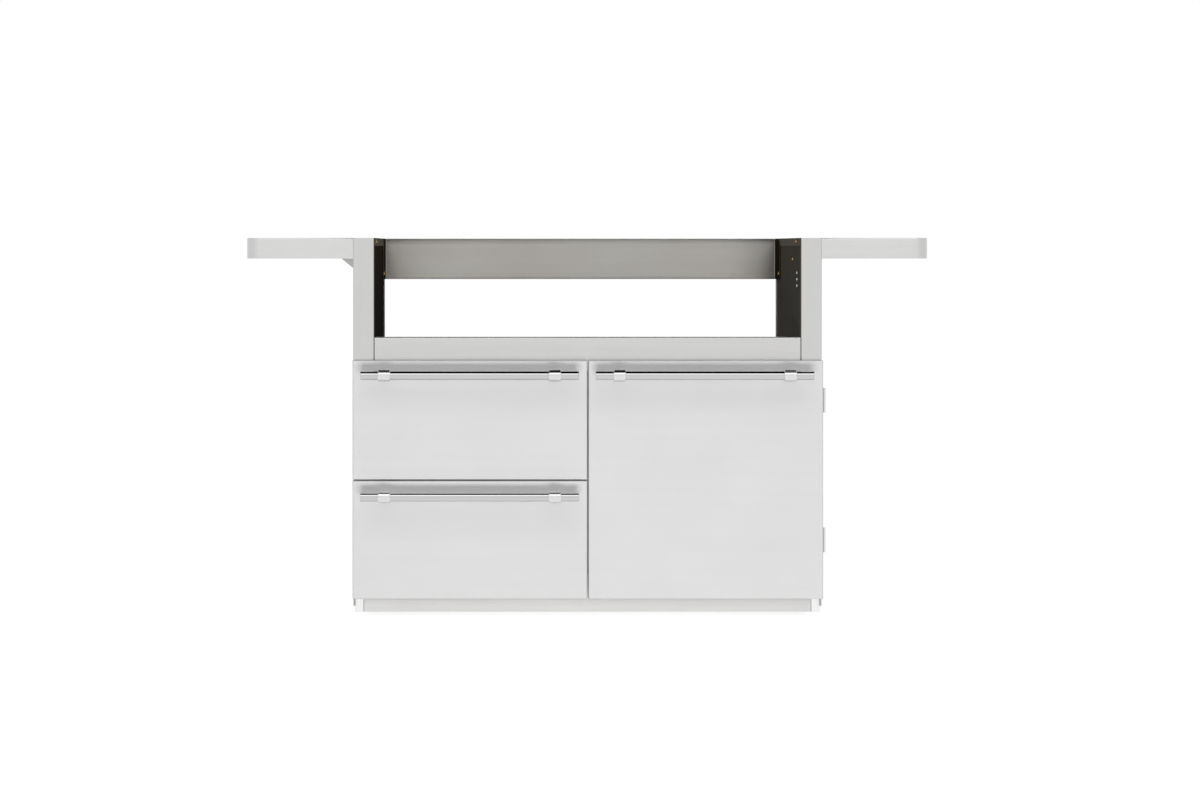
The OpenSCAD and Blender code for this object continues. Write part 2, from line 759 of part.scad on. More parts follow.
// Drawer box: a plate that closes the back of the front, a folded tray and its back wall
module drawer_box(drawer) color("silver") {
    edge_w = sheet_t + skin_fit;
    plate_w = front_w - 2 * edge_w;
    translate([-front_mid - plate_w / 2, face_y + front_t - sheet_t, drawer[0] + edge_w])
        cube([plate_w, sheet_t, drawer[1] - 2 * edge_w]);
    translate([box_mid, face_y + front_t + skin_fit, drawer[2]]) {
        run_back(box_l) rotate(90) lipped_channel(box_w, box_h, box_return, sheet_t, bend_r);
        translate([edge_w - box_w / 2, box_l, edge_w]) rotate([90, 0, 0]) linear_extrude(sheet_t)
            rounded_plan(box_w - 2 * edge_w, box_h - 2 * edge_w, bend_r);
    }
}

// Polished bar of one handle; mid_x is the middle of its front, top_z the front's top edge
module handle_bar(mid_x, top_z) color("silver")
    translate([mid_x - bar_l / 2, face_y - bar_reach, top_z - bar_drop]) chamfered_bar(bar_l, bar_r);

// The two collars of a handle, each on the stand-off post that holds it to the front
module handle_collars(mid_x, top_z) color("silver")
    for (side = [-1, 1]) translate([mid_x + side * collar_span / 2, face_y, top_z - bar_drop])
        difference() {
            union() {
                translate([-collar_w / 2, -bar_reach, 0]) chamfered_bar(collar_w, collar_r);
                rotate([90, 0, 0]) cylinder(h = bar_reach, r = standoff_r);
                rotate([90, 0, 0]) cylinder(h = foot_t, r = standoff_r + foot_rim);
            }
            translate([-collar_w, -bar_reach, 0]) rotate([0, 90, 0])
                cylinder(h = 2 * collar_w, r = bar_r + collar_fit);
        }

module drawer_top_front() drawer_front(upper);
module drawer_top_box() drawer_box(upper);
module drawer_top_bar() handle_bar(-front_mid, upper[0] + upper[1]);
module drawer_top_collars() handle_collars(-front_mid, upper[0] + upper[1]);
module drawer_bottom_front() drawer_front(lower);
module drawer_bottom_box() drawer_box(lower);
module drawer_bottom_bar() handle_bar(-front_mid, lower[0] + lower[1]);
module drawer_bottom_collars() handle_collars(-front_mid, lower[0] + lower[1]);

// Folded face of the door
module door_skin() color("whitesmoke")
    translate([front_mid, face_y, front_bottom]) pan(front_w, front_top - front_bottom, front_t);

// Pan that closes the back of the door
module door_liner() color("silver")
    translate([front_mid, face_y + front_t, front_bottom + sheet_t + skin_fit]) rotate(180)
        pan(front_w - 2 * (sheet_t + skin_fit), front_top - front_bottom - 2 * (sheet_t + skin_fit),
            front_t - bend_out - skin_fit);

module door_bar() handle_bar(front_mid - door_bar_shift, front_top);
module door_collars() handle_collars(front_mid - door_bar_shift, front_top);

// Magnet catch under the apron's flange, beside the divider
module door_catch() color("dimgray")
    translate([divider_w / 2 + catch_side, cab_y - front_gap + sheet_t + 0.3, apron_bottom - catch_h])
        cube([catch_l, apron_d, catch_h]);

// Steel strike on the door that the catch holds
module door_strike() color("silver")
    translate([divider_w / 2 + catch_side, cab_y - front_gap, apron_bottom - catch_h])
        cube([catch_l, sheet_t, catch_h]);

// One half of a lift-off hinge: a leaf from near_y to near_y + leaf_t, with its knuckle
// on the lower half or the upper half of the hinge
module hinge_half(near_y, knuckle_z, z_mid) {
    half_h = (hinge_h - knuckle_gap) / 2;
    translate([0, 0, z_mid]) difference() {
        union() {
            translate([half_w - leaf_w, near_y, -hinge_h / 2])
                cube([hinge_x - knuckle_r - leaf_clear - half_w + leaf_w, leaf_t, hinge_h]);
            translate([half_w - leaf_w, near_y, knuckle_z]) cube([leaf_w + hinge_out, leaf_t, half_h]);
            translate([hinge_x, hinge_y, knuckle_z]) cylinder(h = half_h, r = knuckle_r);
        }
        translate([hinge_x, hinge_y, -hinge_h]) cylinder(h = 2 * hinge_h, r = hinge_pin_r + run_fit);
    }
}

module hinge_leaves_fixed() color("silver") for (z = [hinge_z_lower, hinge_z_upper])
    hinge_half(cab_y - leaf_t, -hinge_h / 2, z);

module hinge_leaves_door() color("silver") for (z = [hinge_z_lower, hinge_z_upper])
    hinge_half(cab_y - front_gap, knuckle_gap / 2, z);

module hinge_pins() color("lightgray") for (z = [hinge_z_lower, hinge_z_upper])
    translate([hinge_x, hinge_y, z - hinge_h / 2]) cylinder(h = hinge_h, r = hinge_pin_r);

// Fixed part of a caster: top plate, race housing and kingpin with its riveted head
module caster_plates() color("silver") for (c = corners) translate([c[0], c[1], 0]) {
    translate([-plate_w / 2, -plate_l / 2, caster_h - plate_t]) cube([plate_w, plate_l, plate_t]);
    translate([0, 0, race_bottom]) cylinder(h = race_h, r = race_r);
    translate([0, 0, crown_bottom - rivet_h]) {
        cylinder(h = race_bottom - crown_bottom + rivet_h, r = kingpin_r);
        cylinder(h = rivet_h - caster_gap, r = kingpin_r + rivet_h);
    }
}

// Swivelling fork: crown and two legs, with ears for the pedal's pin where it has a brake
module caster_fork(corner, brake) color("lightgray") translate([corners[corner][0], corners[corner][1], 0])
    difference() {
        union() {
            translate([0, 0, crown_bottom]) cylinder(h = crown_top - crown_bottom, r = crown_r);
            for (side = [-1, 1]) translate([side * (leg_x + leg_t / 2) - leg_t / 2, 0, 0])
                rotate([90, 0, 90]) linear_extrude(leg_t) {
                    polygon([[8 - crown_r, crown_top], [crown_r - 4, crown_top],
                        [trail + leg_end_r, wheel_r], [trail - leg_end_r, wheel_r]]);
                    translate([trail, wheel_r]) circle(leg_end_r);
                    if (brake) brake_ear();
                }
            if (brake) translate([-leg_x, pedal_y, pedal_z]) rotate([0, 90, 0])
                cylinder(h = 2 * leg_x, r = pedal_pin_r);
        }
        translate([0, 0, crown_bottom - 1]) cylinder(h = 10, r = kingpin_r + run_fit);
        translate([-leg_x - leg_t - 1, trail, wheel_r]) rotate([0, 90, 0])
            cylinder(h = 2 * (leg_x + leg_t + 1), r = axle_r + run_fit);
    }

// Outline of the ear that carries the pedal's pin
module brake_ear() {
    translate([pedal_y, pedal_z]) circle(crown_top - pedal_z);
    translate([0, pedal_z]) square([pedal_y, crown_top - pedal_z]);
    polygon([[10, pedal_z], [pedal_y, pedal_z], [trail + 6, wheel_r + 14], [10, wheel_r + 14]]);
}

// Axle bolt with its head and nut outside the fork legs
module caster_axle(corner) color("silver")
    translate([corners[corner][0], corners[corner][1] + trail, wheel_r]) rotate([0, 90, 0]) {
        reach = leg_x + leg_t;
        translate([0, 0, -reach]) cylinder(h = 2 * reach, r = axle_r);
        for (z = [-reach - axle_head_h, reach])
            translate([0, 0, z]) cylinder(h = axle_head_h, r = 1.7 * axle_r, $fn = 6);
    }

// Wheel with a rounded tread, a dished web and a bored hub
module caster_wheel(corner) color("dimgray")
    translate([corners[corner][0], corners[corner][1] + trail, wheel_r]) rotate([0, 90, 0])
        rotate_extrude() {
            translate([wheel_r - tread_d, -wheel_w / 2]) square([tread_d - shoulder_r, wheel_w]);
            translate([wheel_r - tread_d, shoulder_r - wheel_w / 2])
                square([tread_d, wheel_w - 2 * shoulder_r]);
            for (side = [-1, 1])
                translate([wheel_r - shoulder_r, side * (wheel_w / 2 - shoulder_r)]) circle(shoulder_r);
            translate([axle_r + 1, -wheel_w / 6]) square([wheel_r - tread_d - axle_r, wheel_w / 3]);
            translate([axle_r + run_fit, -leg_x + caster_gap]) square([hub_t, 2 * (leg_x - caster_gap)]);
        }

// Brake pedal: a barrel on the fork's pin, a tongue to step on and a shoe over the tread
module brake_pedal(corner) color("dimgray")
    translate([corners[corner][0], corners[corner][1] + pedal_y, pedal_z]) {
        w = 2 * (leg_x - caster_gap);
        difference() {
            union() {
                translate([-w / 2, 0, 0]) rotate([0, 90, 0]) cylinder(h = w, r = pedal_r);
                translate([-w / 2, 0, pedal_r - pedal_t]) cube([w, pedal_l, pedal_t]);
                translate([-w / 2, pedal_l - 6, pedal_r - pedal_t]) rotate([-20, 0, 0])
                    cube([w, toe_l, pedal_t]);
                translate([-w / 2 + 3, shoe_y, -shoe_h]) cube([w - 6, shoe_l, shoe_h + pedal_r - 1]);
            }
            translate([-w, 0, 0]) rotate([0, 90, 0]) cylinder(h = 2 * w, r = pedal_pin_r + run_fit);
        }
    }

side_panel_left();
side_panel_right();
side_liner_left();
side_liner_right();
front_apron();
rear_cross_panel();
back_panel();
bay_deck();
cabinet_floor();
centre_divider();
base_skirt_left();
base_skirt_right();
kick_panel();
shelf_left();
shelf_right();
shelf_brackets();
shelf_bolts();
brass_screws();
wall_screws();
slide_outer(upper);  // slide_outer_top
slide_middle(upper);  // slide_middle_top
slide_balls(upper);  // slide_balls_top
slide_inner(upper);  // slide_inner_top
slide_outer(lower);  // slide_outer_bottom
slide_middle(lower);  // slide_middle_bottom
slide_balls(lower);  // slide_balls_bottom
slide_inner(lower);  // slide_inner_bottom
drawer_top_front();
drawer_top_box();
drawer_top_bar();
drawer_top_collars();
drawer_bottom_front();
drawer_bottom_box();
drawer_bottom_bar();
drawer_bottom_collars();
door_skin();
door_liner();
door_bar();
door_collars();
door_strike();
door_catch();
hinge_leaves_fixed();
hinge_leaves_door();
hinge_pins();
caster_plates();
caster_fork(0, false);  // caster_fork_front_left
caster_axle(0);  // caster_axle_front_left
caster_wheel(0);  // caster_wheel_front_left
caster_fork(1, false);  // caster_fork_front_right
caster_axle(1);  // caster_axle_front_right
caster_wheel(1);  // caster_wheel_front_right
caster_fork(2, true);  // caster_fork_rear_left
caster_axle(2);  // caster_axle_rear_left
caster_wheel(2);  // caster_wheel_rear_left
caster_fork(3, true);  // caster_fork_rear_right
caster_axle(3);  // caster_axle_rear_right
caster_wheel(3);  // caster_wheel_rear_right
brake_pedal(2);  // brake_pedal_left
brake_pedal(3);  // brake_pedal_right
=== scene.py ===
import math

import bmesh
import bpy
from mathutils import Matrix, Vector


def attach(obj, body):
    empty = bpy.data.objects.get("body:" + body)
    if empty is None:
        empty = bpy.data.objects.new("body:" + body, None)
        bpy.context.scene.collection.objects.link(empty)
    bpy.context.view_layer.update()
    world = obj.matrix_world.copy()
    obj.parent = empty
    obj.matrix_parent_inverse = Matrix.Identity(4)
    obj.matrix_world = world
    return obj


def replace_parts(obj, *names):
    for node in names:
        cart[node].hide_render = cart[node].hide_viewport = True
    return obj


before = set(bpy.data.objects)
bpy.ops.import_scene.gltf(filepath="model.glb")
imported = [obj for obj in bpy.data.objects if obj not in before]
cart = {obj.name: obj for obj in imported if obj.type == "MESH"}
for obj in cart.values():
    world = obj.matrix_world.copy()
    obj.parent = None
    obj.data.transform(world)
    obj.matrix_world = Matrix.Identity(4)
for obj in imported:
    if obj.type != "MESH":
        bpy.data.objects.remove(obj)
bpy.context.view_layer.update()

# Camera: a long lens held level in front of the cart, nearly as high as its top and a little left
# of its middle, so the bay shows more of its right wall than of its left one. The picture is
# shifted instead of the camera tilted, so the posts stand upright in it.
camera_at = Vector((-0.1918, -6.572, 0.8393))
image_size = (1200, 800)
focal_px = 2788
vanishing_px = (503, 247)
film_w = 36
sight_end = 60
camera = bpy.data.cameras.new("camera")
camera.sensor_width = film_w
camera.lens = film_w * focal_px / image_size[0]
camera.shift_x = (image_size[0] / 2 - vanishing_px[0]) / image_size[0]
camera.shift_y = -(image_size[1] / 2 - vanishing_px[1]) / image_size[0]
camera.clip_end = sight_end
tripod = bpy.data.objects.new("camera", camera)
tripod.location = camera_at
tripod.rotation_euler = (math.radians(90), 0, 0)
bpy.context.scene.collection.objects.link(tripod)
bpy.context.scene.camera = tripod
bpy.context.scene.view_settings.view_transform = "Standard"

# Studio light: a white surround that is dimmer at the sides, a large softbox high in front, and a
# low lamp in front, below the level of the floor. The floor lets its light through, and the bars
# throw their shadows up the fronts in it.
side_level = 0.82
side_starts = 0.3
surround_on_matt = 0.45
low_lamp_at = (0, -6, -0.91)
low_lamp_aim = (0, -0.33, 0.42)
low_lamp_size = (2, 0.8)
low_lamp_watts = 212
softbox_at = (0, -2.3, 2.4)
softbox_aim = (0, -0.33, 0.45)
softbox_size = (3.2, 1.1)
softbox_watts = 9


def joined(tree, kind, *values, **settings):
    """Adds a shader node, sets its options, and links or writes its inputs in their order."""
    node = tree.nodes.new(kind)
    for option, value in settings.items():
        setattr(node, option, value)
    for place, value in enumerate(values):
        if isinstance(value, bpy.types.NodeSocket):
            tree.links.new(value, node.inputs[place])
        elif value is not None:
            node.inputs[place].default_value = value
    return node


def calc(tree, operation, *values):
    """One arithmetic step on numbers or sockets."""
    return joined(tree, "ShaderNodeMath", *values, operation=operation).outputs[0]


def eased(tree, value, low, high, to_low=0.0, to_high=1.0):
    """Carries a value from one span to another, with soft ends and no overshoot."""
    return joined(tree, "ShaderNodeMapRange", value, low, high, to_low, to_high,
                  interpolation_type="SMOOTHSTEP").outputs[0]


def studio_lamp(name, at, aim, size, watts):
    """Hangs a rectangular lamp, out of the camera's sight, that shines from one place at another."""
    lamp = bpy.data.lights.new(name, "AREA")
    lamp.shape = "RECTANGLE"
    lamp.size, lamp.size_y = size
    lamp.energy = watts
    hung = bpy.data.objects.new(name, lamp)
    hung.location = at
    hung.rotation_euler = (Vector(aim) - hung.location).to_track_quat("-Z", "Y").to_euler()
    hung.visible_camera = False
    bpy.context.scene.collection.objects.link(hung)
    return hung


world = bpy.data.worlds.new("studio")
bpy.context.scene.world = world
world.use_nodes = True
studio = world.node_tree
studio.nodes.clear()
looking = joined(studio, "ShaderNodeTexCoord").outputs["Generated"]
towards = joined(studio, "ShaderNodeSeparateXYZ", looking).outputs
sideways = calc(studio, "ABSOLUTE", towards["X"])
mirrored = eased(studio, sideways, side_starts, 1, 1, side_level)
ray = joined(studio, "ShaderNodeLightPath").outputs
shiny = calc(studio, "MAXIMUM", ray["Is Glossy Ray"], ray["Is Transmission Ray"])
surround = joined(studio, "ShaderNodeMix", shiny, None, surround_on_matt, mirrored).outputs[0]
level = joined(studio, "ShaderNodeBackground", surround).outputs[0]
backdrop = joined(studio, "ShaderNodeBackground", (1, 1, 1, 1)).outputs[0]
seen = joined(studio, "ShaderNodeMixShader", ray["Is Camera Ray"], level, backdrop).outputs[0]
joined(studio, "ShaderNodeOutputWorld", seen)
low_lamp = studio_lamp("low_fill", low_lamp_at, low_lamp_aim, low_lamp_size, low_lamp_watts)
low_lamp.visible_glossy = False
studio_lamp("softbox", softbox_at, softbox_aim, softbox_size, softbox_watts)

# Black card: a sheet hung over the cart, out of the picture. Only gloss sees it, and it draws the
# dark line along the top of each polished bar.
card_x = (-0.6, 0.64)
card_y = (-1.03, 0.8)
card_z = 1.62
card_black = (0.012, 0.012, 0.012, 1)


def flat_sheet(name, x, y, z):
    """A level four-cornered sheet of the set, which isn't part of the cart."""
    corners = [(x[0], y[0], z), (x[1], y[0], z), (x[1], y[1], z), (x[0], y[1], z)]
    data = bpy.data.meshes.new(name)
    data.from_pydata(corners, [], [(0, 1, 2, 3)])
    laid = bpy.data.objects.new(name, data)
    bpy.context.scene.collection.objects.link(laid)
    return laid


def sheet_tree(sheet):
    """Gives a sheet of the set a material without a shader, and returns its node tree."""
    covering = bpy.data.materials.new(sheet.name)
    covering.use_nodes = True
    covering.node_tree.nodes.clear()
    sheet.data.materials.append(covering)
    return covering.node_tree


card = flat_sheet("black_card", card_x, card_y, card_z)
card.visible_camera = False
card.visible_diffuse = False
card.visible_shadow = False
card.visible_transmission = False
felt = sheet_tree(card)
joined(felt, "ShaderNodeOutputMaterial", joined(felt, "ShaderNodeBsdfDiffuse", card_black).outputs[0])

# Floor: a sheet of white paper that takes the cart's soft shadow and throws none itself. A little
# glow, seen by the camera and in the steel, lifts the paper to plain white where nothing shades it.
floor_reach = 14
paper_white = (0.36, 0.36, 0.36, 1)
paper_glow = 0.85
floor = flat_sheet("paper_floor", (-floor_reach, floor_reach), (-floor_reach, floor_reach), 0)
floor.visible_shadow = False
paper = sheet_tree(floor)
paper_ray = joined(paper, "ShaderNodeLightPath").outputs
shown_by = calc(paper, "MAXIMUM", paper_ray["Is Glossy Ray"], paper_ray["Is Transmission Ray"])
shows = calc(paper, "MAXIMUM", paper_ray["Is Camera Ray"], shown_by)
matt = joined(paper, "ShaderNodeBsdfDiffuse", paper_white).outputs[0]
glow = joined(paper, "ShaderNodeEmission", (1, 1, 1, 1), calc(paper, "MULTIPLY", shows, paper_glow))
lit_paper = joined(paper, "ShaderNodeAddShader", matt, glow.outputs[0]).outputs[0]
joined(paper, "ShaderNodeOutputMaterial", lit_paper)

# Base: two skirts, pans that face outwards, and a kick panel across the front between them, folded
# from 1.5 mm stainless sheet and fixed up under the cabinet floor. The skirts are brushed upright
# and the kick panel from side to side.
# The skirts' tint is lighter than the kick panel's: a painted highlight for the bright floor they reflect.
skirt_highlight_tint = (0.875, 0.875, 0.87)
kick_tint = (0.776, 0.771, 0.757)
noise_low, noise_high = 0.3, 0.7
scratch_along, scratch_across, scratch_detail = 6, 900, 3
streak_along, streak_across, streak_detail = 1.5, 70, 2
cloud_size, cloud_detail = 5, 3
warm_along, warm_across, warm_detail = 3, 6, 2
scratch_depth = 0.0004
gloss_swing = 0.03
brush_slant = 0.01
bay_half_w = 0.4863
squarely = 0.7


def blank_finish(name):
    """A new material, its node tree and shader, and the coordinates that its patterns use."""
    finish = bpy.data.materials.new(name)
    finish.use_nodes = True
    tree = finish.node_tree
    where = joined(tree, "ShaderNodeTexCoord").outputs
    return finish, tree, tree.nodes["Principled BSDF"], where


def noise(tree, where, stretch, detail):
    """A soft noise from 0 to 1, as fine along each axis as stretch says."""
    laid = joined(tree, "ShaderNodeMapping", where["Object"], None, None, stretch).outputs[0]
    drift = joined(tree, "ShaderNodeTexNoise", laid)
    drift.inputs["Scale"].default_value = 1
    drift.inputs["Detail"].default_value = detail
    return drift.outputs["Fac"]


def spread(tree, pattern, low, high):
    """Carries a noise, most of which lies near its middle, to a span of its own."""
    return joined(tree, "ShaderNodeMapRange", pattern, noise_low, noise_high, low, high).outputs[0]


def mixed(tree, share, under, over):
    """Mixes two colours by a share from 0 to 1."""
    return joined(tree, "ShaderNodeMix", share, None, None, None, under, over, data_type="VECTOR").outputs[1]


def scaled(tree, colour, factor):
    """Makes a colour lighter or darker by a factor."""
    return joined(tree, "ShaderNodeVectorMath", colour, None, None, factor, operation="SCALE").outputs[0]


def relief(tree, skin, pattern, strength, depth):
    """Lets a pattern stand up from the surface a little."""
    raised = tree.nodes.new("ShaderNodeBump")
    raised.inputs["Strength"].default_value = strength
    raised.inputs["Distance"].default_value = depth
    tree.links.new(pattern, raised.inputs["Height"])
    tree.links.new(raised.outputs[0], skin.inputs["Normal"])


def brushed_steel(name, tint, grain="x", rough=0.3, lean=0.8, streak=0.05, cloud=0.05, warm=None,
                  bay_shade=None, bay_shade_edge=None, nick=0.12, bright=1.0):
    """Bare steel with its brushing along one axis: fine scratches, broad streaks and faint clouds.
    warm is a second tint that shows in soft patches. bright is how far it shines as bare metal.
    The colour given for the faces that look in on the bay from its two sides is painted shade and
    dark reflection, and beyond the edge given from the middle the front edges get it too."""
    steel, tree, skin, where = blank_finish(name)
    skin.inputs["Metallic"].default_value = bright
    skin.inputs["Specular IOR Level"].default_value = 0
    skin.inputs["Anisotropic"].default_value = lean

    def pattern(along, across, detail):
        return noise(tree, where, [along if axis == grain else across for axis in "xyz"], detail)

    scratches = pattern(scratch_along, scratch_across, scratch_detail)
    streaks = pattern(streak_along, streak_across, streak_detail)
    clouds = pattern(cloud_size, cloud_size, cloud_detail)
    shown = tint
    if warm:
        patches = spread(tree, pattern(warm_along, warm_across, warm_detail), 0, 1)
        shown = mixed(tree, patches, tint, warm)
    shade = calc(tree, "ADD", spread(tree, streaks, -streak / 2, streak / 2),
                 spread(tree, clouds, 1 - cloud / 2, 1 + cloud / 2))
    shown = scaled(tree, shown, shade)
    # painted shade and dark reflection on the faces that look in on the bay, and on the front edges near its
    # sides
    if bay_shade:
        across_bay = joined(tree, "ShaderNodeSeparateXYZ", where["Object"]).outputs["X"]
        facing = joined(tree, "ShaderNodeSeparateXYZ", where["Normal"]).outputs
        from_middle = calc(tree, "ABSOLUTE", across_bay)
        outwards = calc(tree, "MULTIPLY", facing["X"], calc(tree, "SIGN", across_bay))
        bay_shade_mask = calc(tree, "LESS_THAN", outwards, -squarely)
        if bay_shade_edge:
            edge = calc(tree, "MULTIPLY", calc(tree, "LESS_THAN", facing["Y"], -squarely),
                        calc(tree, "GREATER_THAN", from_middle, bay_shade_edge))
            bay_shade_mask = calc(tree, "MAXIMUM", bay_shade_mask, edge)
        bay_shade_mask = calc(tree, "MULTIPLY", bay_shade_mask, calc(tree, "LESS_THAN", from_middle, bay_half_w))
        shown = mixed(tree, bay_shade_mask, shown, bay_shade)
        tree.links.new(calc(tree, "SUBTRACT", 1, bay_shade_mask), skin.inputs["Metallic"])
    tree.links.new(shown, skin.inputs["Base Color"])
    dull = calc(tree, "ADD", spread(tree, scratches, rough - gloss_swing, rough + gloss_swing),
                spread(tree, clouds, -gloss_swing, gloss_swing))
    tree.links.new(dull, skin.inputs["Roughness"])
    relief(tree, skin, scratches, nick, scratch_depth)
    # light spreads across the brushing, so the tangent lies square to it in every face, and the
    # slant keeps it from vanishing on the faces that the brushing runs straight into
    brushing = [1 if axis == grain else brush_slant for axis in "xyz"]
    across = joined(tree, "ShaderNodeVectorMath", where["Normal"], brushing, operation="CROSS_PRODUCT")
    tangent = joined(tree, "ShaderNodeVectorTransform", across.outputs[0], vector_type="VECTOR",
                     convert_from="OBJECT", convert_to="WORLD")
    tree.links.new(tangent.outputs[0], skin.inputs["Tangent"])
    return steel


def finish_node(material, *nodes):
    """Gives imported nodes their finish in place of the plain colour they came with."""
    for node in nodes:
        mesh = cart[node].data
        mesh.materials.clear()
        mesh.materials.append(material)


finish_node(brushed_steel("skirt_steel", skirt_highlight_tint, grain="z", cloud=0.02),
            "base_skirt_left", "base_skirt_right")
finish_node(brushed_steel("kick_steel", kick_tint, rough=0.36, lean=0.9, cloud=0.03), "kick_panel")

# Casters: a pressed plate with its ball race and riveted kingpin, a swivelling fork and an axle
# bolt, all in bright zinc-plated steel. Four bolts with hexagon nuts hold each plate under the
# cabinet floor.
zinc_tint = (0.62, 0.63, 0.65)
zinc_shadow = (0.5, 0.51, 0.54)
spangle_fine = 140
spangle_share = 0.4
patches_coarser = 6
plain_detail = 2
plated_stops = (0.25, 0.75)
plated_swing = (-0.06, 0.1)
grit_strength, grit_depth = 0.08, 0.0002
caster_x = 0.418
caster_y = (-0.14075, 0.24725)
caster_names = ["front_left", "front_right", "rear_left", "rear_right"]
plate_top = 0.1
plate_t = 0.003
plate_bolt_x, plate_bolt_y = 0.025, 0.031
plate_bolt_turn = 0.4
nut_r, nut_h = 0.0065, 0.0045
nut_chamfer_z, nut_chamfer_r = 0.8, 0.86
washer_r, washer_h = 0.0075, 0.0012
washer_edge = 0.0003
bolt_end_r, bolt_end_h = 0.0028, 0.008
shank_edge = 0.0006
shank_steps = 16
crease = math.radians(35)


def ramped(tree, value, stops, dark, pale):
    """Runs from a dark colour to a pale one as a value goes from one stop to the other."""
    ramp = joined(tree, "ShaderNodeValToRGB", value)
    for stop, place, colour in zip(ramp.color_ramp.elements, stops, (dark, pale)):
        stop.position = place
        stop.color = (*colour, 1)
    return ramp.outputs[0]


def plated_steel(name, tint, shadow, rough=0.28):
    """Plated steel: a bright skin with fine spangle and faint dull patches."""
    plated, tree, skin, where = blank_finish(name)
    skin.inputs["Metallic"].default_value = 1
    spangle = joined(tree, "ShaderNodeTexVoronoi", where["Object"])
    spangle.inputs["Scale"].default_value = spangle_fine
    speck = joined(tree, "ShaderNodeRGBToBW", spangle.outputs["Color"]).outputs[0]
    patches = noise(tree, where, (spangle_fine / patches_coarser,) * 3, plain_detail)
    blotch = calc(tree, "ADD", calc(tree, "MULTIPLY", speck, spangle_share),
                  calc(tree, "MULTIPLY", patches, 1 - spangle_share))
    tree.links.new(ramped(tree, blotch, plated_stops, shadow, tint), skin.inputs["Base Color"])
    dull = spread(tree, patches, *[rough + swing for swing in plated_swing])
    tree.links.new(dull, skin.inputs["Roughness"])
    relief(tree, skin, patches, grit_strength, grit_depth)
    return plated


def ring(mesh, radius, height, at, axis, steps, turn=0.0):
    """One ring of points round an axis, or the one point on it where the radius is nothing."""
    to_axis = Vector(axis).to_track_quat("Z", "Y").to_matrix()
    points = []
    for step in range(steps if radius else 1):
        angle = turn + 2 * math.pi * step / steps
        out = Vector((radius * math.cos(angle), radius * math.sin(angle), height))
        points.append(mesh.verts.new(Vector(at) + to_axis @ out))
    return points


def band(mesh, low, high, steps):
    """Closes the strip between two rings, with triangles where one of them is a single point."""
    for step in range(steps):
        after = (step + 1) % steps
        corners = [low[step % len(low)], low[after % len(low)],
                   high[after % len(high)], high[step % len(high)]]
        mesh.faces.new(list(dict.fromkeys(corners)))


def turned(mesh, profile, at, axis, steps=24, turn=0.0):
    """Turns a profile of (radius, height) points round an axis: heights run along it from at.
    An end point on the axis closes that end, and any other end is closed by a flat cap."""
    rings = [ring(mesh, radius, height, at, axis, steps, turn) for radius, height in profile]
    for low, high in zip(rings, rings[1:]):
        band(mesh, low, high, steps)
    if len(rings[0]) > 1:
        mesh.faces.new(rings[0][::-1])
    if len(rings[-1]) > 1:
        mesh.faces.new(rings[-1])


def new_piece(name, mesh, body, material):
    """Makes a piece from a finished bmesh, smooth but for its sharp edges, and fixes it to a body."""
    bmesh.ops.recalc_face_normals(mesh, faces=mesh.faces)
    data = bpy.data.meshes.new(name)
    mesh.to_mesh(data)
    mesh.free()
    data.shade_smooth()
    data.set_sharp_from_angle(angle=crease)
    data.materials.append(material)
    piece = bpy.data.objects.new(name, data)
    bpy.context.scene.collection.objects.link(piece)
    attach(piece, body)
    return piece


def washer(mesh, at, axis, radius, height):
    """A flat washer with softened edges."""
    inner = radius - washer_edge
    turned(mesh, [(inner, 0), (radius, washer_edge), (radius, height - washer_edge), (inner, height)],
           at, axis)


def hexagon(mesh, at, axis, radius, height, turn):
    """A hexagon nut, chamfered at its outer end."""
    turned(mesh, [(radius, 0), (radius, height * nut_chamfer_z), (radius * nut_chamfer_r, height)],
           at, axis, steps=6, turn=turn)


def shank(mesh, at, axis, radius, length):
    """The plain end of a bolt or screw, chamfered at its tip."""
    turned(mesh, [(radius, 0), (radius, length - shank_edge), (radius - shank_edge, length)],
           at, axis, steps=shank_steps)


zinc = plated_steel("zinc_plate", zinc_tint, zinc_shadow)
zinc_nodes = [node for node in cart if node.startswith(("caster_plates", "caster_fork", "caster_axle"))]
finish_node(zinc, *zinc_nodes)
caster_at = [Vector((side * caster_x, y, 0)) for y in caster_y for side in (-1, 1)]
plate_bolts = bmesh.new()
for corner in caster_at:
    for side in (-1, 1):
        for end in (-1, 1):
            under = corner + Vector((side * plate_bolt_x, end * plate_bolt_y, plate_top - plate_t))
            nut_at = under - Vector((0, 0, washer_h))
            washer(plate_bolts, under, (0, 0, -1), washer_r, washer_h)
            hexagon(plate_bolts, nut_at, (0, 0, -1), nut_r, nut_h, side * plate_bolt_turn)
            shank(plate_bolts, nut_at, (0, 0, -1), bolt_end_r, bolt_end_h)
new_piece("caster_plate_bolts", plate_bolts, "cart", zinc)

# Wheels: a soft black rubber tyre moulded on a grey nylon centre with eight ribs on each side.
# Fine grooves run round the tread, and a steel cap closes each end of the bearing.
wheel_r = 0.0375
wheel_trail = 0.028
tyre_half_w = 0.0125
tyre_in_r = 0.0262
tyre_bead = 0.001
shoulder_r = 0.005
shoulder_points = 5
groove_at = (-0.0045, 0, 0.0045)
groove_half_w, groove_deep = 0.0005, 0.0006
rim_half_w = 0.0102
rim_in_r = tyre_in_r - 0.0022
web_half_w = 0.0032
hub_r, hub_half_l = 0.0108, 0.014
hub_edge = 0.0008
bore_r = 0.0042
rib_count, rib_half_t = 8, 0.0011
rib_inset = 0.0015
rib_in_web, rib_in_hub, rib_in_rim = 0.9, 0.97, 1.01
cap_r = 0.0088
cap_play = 0.0004
cap_back, cap_front, cap_proud = 0.0012, 0.0002, 0.00005
rubber_black = (0.018, 0.018, 0.019)
rubber_dusty = (0.05, 0.048, 0.045)
